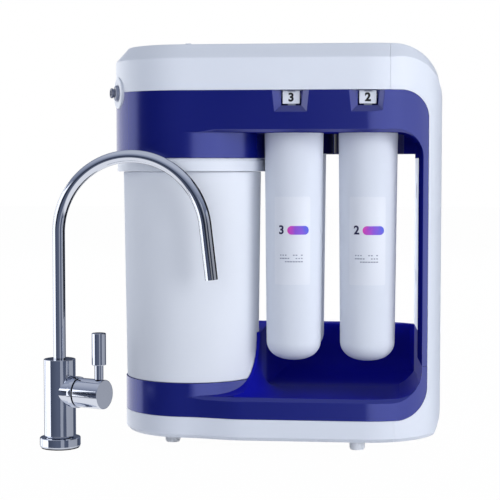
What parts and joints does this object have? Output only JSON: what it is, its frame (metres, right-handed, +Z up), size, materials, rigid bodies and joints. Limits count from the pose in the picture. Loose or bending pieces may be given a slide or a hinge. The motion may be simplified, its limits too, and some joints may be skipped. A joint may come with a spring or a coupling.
{
  "type": "under sink water filter",
  "caption": "Compact under-sink water filter with hanging cartridges, a round storage tank and a gooseneck tap beside it.",
  "frame": {"origin": "middle of the underside of the whole object's box, on the surface that it stands on", "axes": "+X to the unit's right, seen from the front; +Y to the back; +Z up"},
  "size_m": [0.4208, 0.2168, 0.4223],
  "materials": {
    "white_shell": "satin moulded white plastic",
    "tank_white": "satin moulded white plastic",
    "cartridge_white": "satin moulded white plastic",
    "neck_white": "matt moulded plastic",
    "button_white": "satin moulded white plastic with a printed numeral",
    "foot_white": "matt soft plastic",
    "navy": "satin navy-blue moulded plastic",
    "deep_navy": "satin navy-blue moulded plastic",
    "port_grey": "satin grey acetal",
    "carbon": "pressed carbon block",
    "rubber_black": "matt black rubber",
    "spring_steel": "rolled spring strip",
    "chrome": "polished chrome plate",
    "ceramic": "ground ceramic"
  },
  "bodies": {
    "root": {"base_pan": "white_shell", "button_spring_1": "spring_steel", "button_spring_2": "spring_steel", "button_spring_3": "spring_steel", "button_spring_4": "spring_steel", "foot_front_left": "foot_white", "foot_front_right": "foot_white", "foot_rear_left": "foot_white", "foot_rear_right": "foot_white", "lower_tray": "navy", "manifold_head": "deep_navy", "port_body": "port_grey", "port_escutcheon": "white_shell", "rear_liner": "white_shell", "right_side_shell": "white_shell", "side_bezel": "navy", "socket_1": "deep_navy", "socket_2": "deep_navy", "socket_3": "deep_navy", "socket_4": "deep_navy", "tank_bladder": "rubber_black", "tank_collar": "tank_white", "tank_head": "navy", "tank_vessel": "tank_white", "tap_base": "chrome", "tap_body": "chrome", "tap_gasket": "rubber_black", "tap_valve_core": "ceramic", "top_cover": "white_shell", "upper_housing": "navy"},
    "valve_1": {"valve_ring_1": "port_grey"},
    "cartridge_1": {"cartridge_1_shell": "cartridge_white", "cartridge_1_neck": "neck_white", "cartridge_1_core": "carbon"},
    "button_1": {"release_button_1": "button_white"},
    "valve_2": {"valve_ring_2": "port_grey"},
    "cartridge_2": {"cartridge_2_shell": "cartridge_white", "cartridge_2_neck": "neck_white", "cartridge_2_core": "carbon"},
    "button_2": {"release_button_2": "button_white"},
    "valve_3": {"valve_ring_3": "port_grey"},
    "cartridge_3": {"cartridge_3_shell": "cartridge_white", "cartridge_3_neck": "neck_white", "cartridge_3_core": "carbon"},
    "button_3": {"release_button_3": "button_white"},
    "valve_4": {"valve_ring_4": "port_grey"},
    "cartridge_4": {"cartridge_4_shell": "cartridge_white", "cartridge_4_neck": "neck_white", "cartridge_4_core": "carbon"},
    "button_4": {"release_button_4": "button_white"},
    "port_collet": {"port_collet": "port_grey"},
    "tap_spout": {"tap_spout": "chrome", "tap_outlet": "neck_white"},
    "tap_lever": {"tap_barrel": "chrome", "tap_lever_stem": "chrome", "tap_lever_grip": "chrome"}
  },
  "joints": [
    {"name": "cartridge_1_turn", "type": "hinge", "parent": "root", "child": "valve_1", "pos_m": [0.13262, 0.05093, 0.358], "axis": [0, 0, -1], "range_deg": [0, 45]},
    {"name": "cartridge_1_drop", "type": "slide", "parent": "valve_1", "child": "cartridge_1", "axis": [0, 0, -1], "range_m": [0, 0.025]},
    {"name": "button_1_press", "type": "slide", "parent": "root", "child": "button_1", "axis": [0, -1, 0], "range_m": [0, 0.003], "stiffness_N_per_m": 600},
    {"name": "cartridge_2_turn", "type": "hinge", "parent": "root", "child": "valve_2", "pos_m": [0.13262, -0.02407, 0.358], "axis": [0, 0, -1], "range_deg": [0, 45]},
    {"name": "cartridge_2_drop", "type": "slide", "parent": "valve_2", "child": "cartridge_2", "axis": [0, 0, -1], "range_m": [0, 0.025]},
    {"name": "button_2_press", "type": "slide", "parent": "root", "child": "button_2", "axis": [0, 1, 0], "range_m": [0, 0.003], "stiffness_N_per_m": 600},
    {"name": "cartridge_3_turn", "type": "hinge", "parent": "root", "child": "valve_3", "pos_m": [0.05432, -0.02407, 0.358], "axis": [0, 0, -1], "range_deg": [0, 45]},
    {"name": "cartridge_3_drop", "type": "slide", "parent": "valve_3", "child": "cartridge_3", "axis": [0, 0, -1], "range_m": [0, 0.025]},
    {"name": "button_3_press", "type": "slide", "parent": "root", "child": "button_3", "axis": [0, 1, 0], "range_m": [0, 0.003], "stiffness_N_per_m": 600},
    {"name": "cartridge_4_turn", "type": "hinge", "parent": "root", "child": "valve_4", "pos_m": [0.05432, 0.05093, 0.358], "axis": [0, 0, -1], "range_deg": [0, 45]},
    {"name": "cartridge_4_drop", "type": "slide", "parent": "valve_4", "child": "cartridge_4", "axis": [0, 0, -1], "range_m": [0, 0.025]},
    {"name": "button_4_press", "type": "slide", "parent": "root", "child": "button_4", "axis": [0, -1, 0], "range_m": [0, 0.003], "stiffness_N_per_m": 600},
    {"name": "collet_press", "type": "slide", "parent": "root", "child": "port_collet", "axis": [0.9063, 0.4226, 0], "range_m": [0, 0.0015], "stiffness_N_per_m": 800},
    {"name": "spout_swivel", "type": "hinge", "parent": "root", "child": "tap_spout", "pos_m": [-0.18907, -0.07207, 0.09], "axis": [0, 0, 1], "range_deg": [-250, 0]},
    {"name": "lever_turn", "type": "hinge", "parent": "root", "child": "tap_lever", "pos_m": [-0.18907, -0.07207, 0.06], "axis": [0.9184, -0.3955, 0], "range_deg": [0, 90]}
  ]
}
